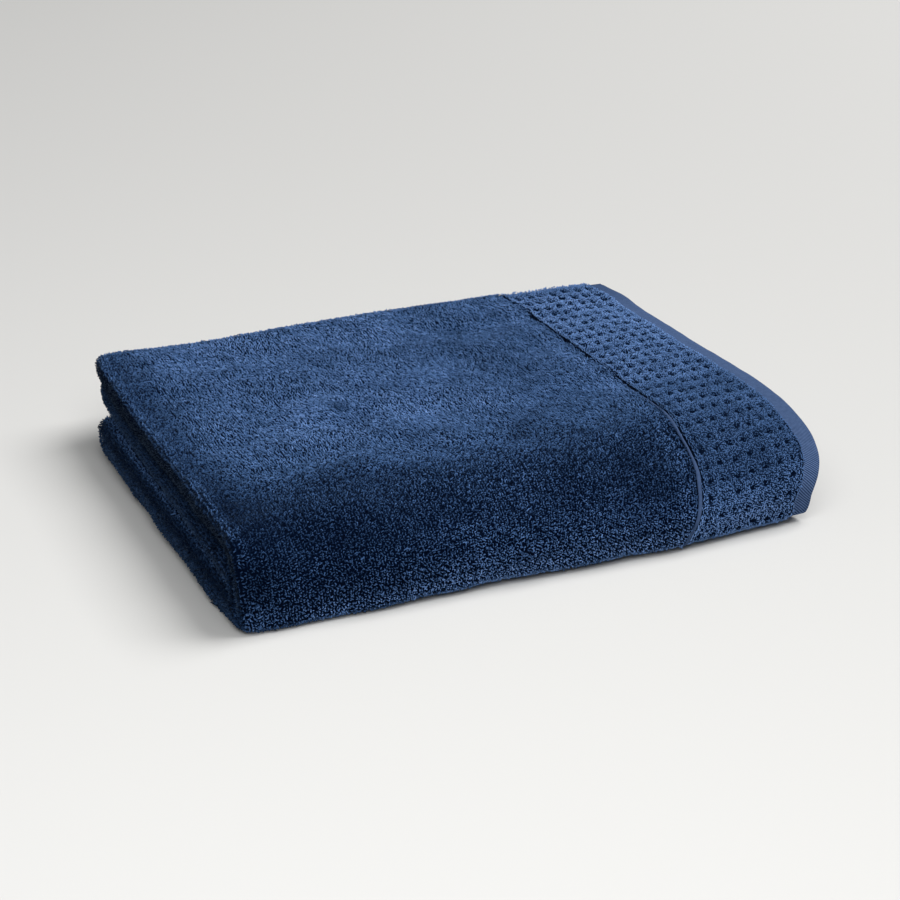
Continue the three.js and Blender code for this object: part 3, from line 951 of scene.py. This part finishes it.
# A loop in full shade, and the tops of a dim loop and of a bright one
SHADED = (0.0008, 0.003, 0.013, 1)
DIM_TOP, BRIGHT_TOP = (0.12, 0.30, 0.72, 1), (0.21, 0.36, 0.71, 1)
# The rise from which a loop wears its top's colour
TOP_FROM = 0.85


def loop_finish(name, least_rise, root_colour):
    finish = Finish(name, **COTTON)
    # Painted shade: below its top a loop darkens towards its root colour
    top = finish.ramp(finish.kept("rise"), least_rise, TOP_FROM)
    share = finish.kept("tone") * (1 / FULL_TONE)
    lit = finish.blend(share, SHADED, finish.blend(share, DIM_TOP, BRIGHT_TOP))
    finish.colour(finish.blend(top, finish.blend(share, SHADED, root_colour), lit))
    return finish.material


LOOPS = loop_finish("terry_loops", 0.3, (0.017, 0.042, 0.120, 1))
BORDER_LOOPS = loop_finish("border_loops", 0.15, (0.060, 0.130, 0.300, 1))
print("material", LOOPS.name, "with", len(LOOPS.node_tree.nodes), "nodes")

# %% [markdown]
# Now the pile grows. The modifier's result is copied to a plain mesh for each carrier, and the
# modifier goes. Two things are put right on that mesh. Loops under the stack are pressed flat on
# the floor. And a yarn's shading is turned halfway to the way the cloth faces, because a real one
# is wrapped in loose fibres that catch light from all round, where a bare tube has a dark side.

# %% Growing the pile
FUZZ = 0.5
SIZE_CHANGE = 0.12
# How high the pressed loops lie above the floor
PRESSED_AT = 0.05
FIRST_SEED = 30


def grow(carrier, seed):
    """Grows the loops of one carrier into a plain mesh and returns its count of triangles."""
    grower = carrier.modifiers.new("pile", "NODES")
    grower.node_group = terry_pile
    sockets = {s.name: s.identifier for s in terry_pile.interface.items_tree if s.in_out == "INPUT"}
    values = {
        "Yarn radius": YARN_RADIUS[carrier.name] * MM, "Size": 1.0, "Size change": SIZE_CHANGE,
        "Seed": seed, "Finish": BORDER_LOOPS if carrier.name == "loops_border" else LOOPS,
    }
    for name, value in values.items():
        grower[sockets[name]] = value
    evaluated = carrier.evaluated_get(bpy.context.evaluated_depsgraph_get())
    mesh = bpy.data.meshes.new_from_object(evaluated)
    carrier.modifiers.remove(grower)
    carrier.data = mesh
    press(mesh)
    soften(mesh)
    return len(mesh.polygons) * 2


def press(mesh):
    """Flattens the loops that the stack lies on, so that none goes through the floor."""
    places = np.empty(len(mesh.vertices) * 3)
    mesh.vertices.foreach_get("co", places)
    places[2::3] = np.maximum(places[2::3], PRESSED_AT * MM)
    mesh.vertices.foreach_set("co", places)
    mesh.update()


def soften(mesh):
    """Turns each yarn's shading towards the way the cloth faces, as its loose fibres do."""
    count = len(mesh.vertices)
    outward = np.empty(count * 3)
    mesh.attributes["outward"].data.foreach_get("vector", outward)
    own = np.empty(count * 3)
    mesh.vertex_normals.foreach_get("vector", own)
    normals = unit(mix(own.reshape(-1, 3), outward.reshape(-1, 3), FUZZ))
    mesh.normals_split_custom_set_from_vertices(normals.tolist())


loop_faces = {c.name: grow(c, seed) for seed, c in enumerate(carriers, FIRST_SEED)}
print("triangles:", loop_faces, "in all", sum(loop_faces.values()))

# %% [markdown]
# The ground under the pile needs two finishes. One is terry, with painted shade: nearly black
# where loops cover it, as little light gets down there, and in the border's pits, and a little
# lighter between the border's loops. On the hidden faces where no loops were grown it shows
# loop-sized bumps of the pile's colour. The other is the fine twill of the hem, thin slanting
# ribs that nothing shades, so they are lighter, with a painted shade that darkens its back edge
# and, less, the part towards the front round. Its ribs fade out on the rim by the groove, which
# is too narrow to show any. Both read the flat UV map, so they follow the threads.

# %% The cloth's ground
TWILL_PITCH = 2.2 * MM
# Cells of the bare pile and patches of the worn twill, to the metre
PILE_CELLS, WORN_PATCHES = 360.0, 220.0
# How deep the bumps of the bare pile and of the twill are
PILE_BUMPS, TWILL_BUMPS = 1.2, 0.35


def terry_ground():
    finish = Finish("terry_ground", **COTTON)
    cells = finish.number("ShaderNodeTexVoronoi", "Distance", None, {
        "Vector": finish.flat_place(), "Scale": PILE_CELLS,
    })
    bare = finish.blend(cells, (0.030, 0.066, 0.160, 1), (0.004, 0.010, 0.028, 1))
    finish.colour(finish.blend(finish.kept("ground_shade"), bare, (0.001, 0.004, 0.015, 1)))
    finish.relief(1 - cells, PILE_BUMPS)
    return finish.material


def hem_twill():
    finish = Finish("hem_twill", **{**COTTON, "Sheen_Weight": 0.05})
    flat = finish.flat_place()
    parts = finish.add("ShaderNodeSeparateXYZ", None, {0: flat})
    along, across = Number(finish, parts.outputs[0]), Number(finish, parts.outputs[1])
    slant = (along * 0.8 + across) * (2 * math.pi / TWILL_PITCH)
    ribs = finish.number("ShaderNodeMath", 0, {"operation": "SINE"}, {0: slant}) * 0.5 + 0.5
    worn = finish.number("ShaderNodeTexNoise", 0, None, {
        "Vector": flat, "Scale": WORN_PATCHES, "Detail": 2.0,
    })
    # Painted shade: the hem is darker at its back edge and a little darker towards the front round
    towards_back = finish.ramp(across, 0.0, 0.1, 0.75, 1.2)
    towards_front = finish.ramp(across, 0.16, 0.38, 1.0, 0.83)
    on_hem = finish.ramp(along, 0.05, 0.06, 1.0, 0.0)
    light = (ribs - 0.5) * 0.9 * on_hem + (worn * 0.4 + 0.33) * (on_hem * 0.25 + 0.75)
    light = light * (towards_back * towards_front)
    finish.colour(finish.blend(light, (0.010, 0.024, 0.060, 1), (0.092, 0.147, 0.290, 1)))
    finish.relief(ribs * on_hem, TWILL_BUMPS)
    return finish.material


cloth.data.materials.append(terry_ground())
cloth.data.materials.append(hem_twill())
face_x = np.array([x_of[face].mean() for face in faces])
face_w = np.array([w_of[face].mean() for face in faces])
# The faces of the bare rim: between which places along the cloth, and from where across it
RIM_FROM, RIM_TO, RIM_BELOW = GROOVE - 2.4, GROOVE - 0.3, 265
rim_face = (face_x > RIM_FROM) & (face_x < RIM_TO) & (face_w > RIM_BELOW)
flat_woven = (face_x > HEM_INNER - 1.0) | rim_face
cloth.data.polygons.foreach_set("material_index", flat_woven.astype(int))
print("the cloth wears", [m.name for m in cloth.data.materials])
print("flat woven faces:", int(flat_woven.sum()))

# %% [markdown]
# The set is a pale floor without an edge in sight, one large soft light high on the right, a small
# weak one in front, and an even pale sky. The big light makes the top and the hem the brightest
# faces, leaves the front in half shade, which the loops' painted shade deepens, and lays a wide
# soft shadow to the left. The small one lifts the floor before the stack, as a white studio does.

# %% Floor, light and sky
# Metres from the middle to each side
FLOOR_REACH = 9.0
PAPER = {"Base_Color": (0.60, 0.60, 0.59, 1), "Roughness": 0.9, "Specular_IOR_Level": 0.1}
SKY_COLOUR, SKY_STRENGTH = (0.97, 0.985, 1.0, 1), 0.16
# Name, place, what it points at, size, power and colour
LAMPS = [
    ("key", (5.0, 0.4, 7.0), (0.0, -0.2, 0), 6.0, 885, (1.0, 0.99, 0.98)),
    ("front", (-0.65, -1.2, 1.5), (-0.65, -0.77, 0), 1.6, 23, (1.0, 1.0, 1.0)),
]


def make_floor():
    mesh = bpy.data.meshes.new("floor")
    signs = [(-1, -1), (1, -1), (1, 1), (-1, 1)]
    places = [(x * FLOOR_REACH, y * FLOOR_REACH, 0) for x, y in signs]
    mesh.from_pydata(places, [], [(0, 1, 2, 3)])
    floor = bpy.data.objects.new("floor", mesh)
    bpy.context.scene.collection.objects.link(floor)
    mesh.materials.append(Finish("floor_paper", **PAPER).material)
    floor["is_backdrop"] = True


def make_lamp(name, place, target, size, power, colour):
    data = bpy.data.lights.new(name, "AREA")
    data.shape, data.size, data.size_y = "RECTANGLE", size, size
    data.energy, data.color = power, colour
    lamp = bpy.data.objects.new(name, data)
    lamp.location = place
    beam = mathutils.Vector(target) - mathutils.Vector(place)
    lamp.rotation_euler = beam.to_track_quat("-Z", "Y").to_euler()
    bpy.context.scene.collection.objects.link(lamp)


make_floor()
for lamp in LAMPS:
    make_lamp(*lamp)
world = bpy.data.worlds.new("soft_sky")
bpy.context.scene.world = world
world.use_nodes = True
sky = world.node_tree.nodes["Background"].inputs
sky["Color"].default_value = SKY_COLOUR
sky["Strength"].default_value = SKY_STRENGTH
bpy.context.scene.view_settings.view_transform = "Standard"
print("floor and light are set")

# %% [markdown]
# Last, each piece is declared. The cloth stands for the solid: it is a folded sheet of 90 by
# 160 cm, and its loops go with it.

# %% Declaring the pieces
for piece in [cloth, *carriers]:
    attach(piece, "root")
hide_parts("folded_sheet")
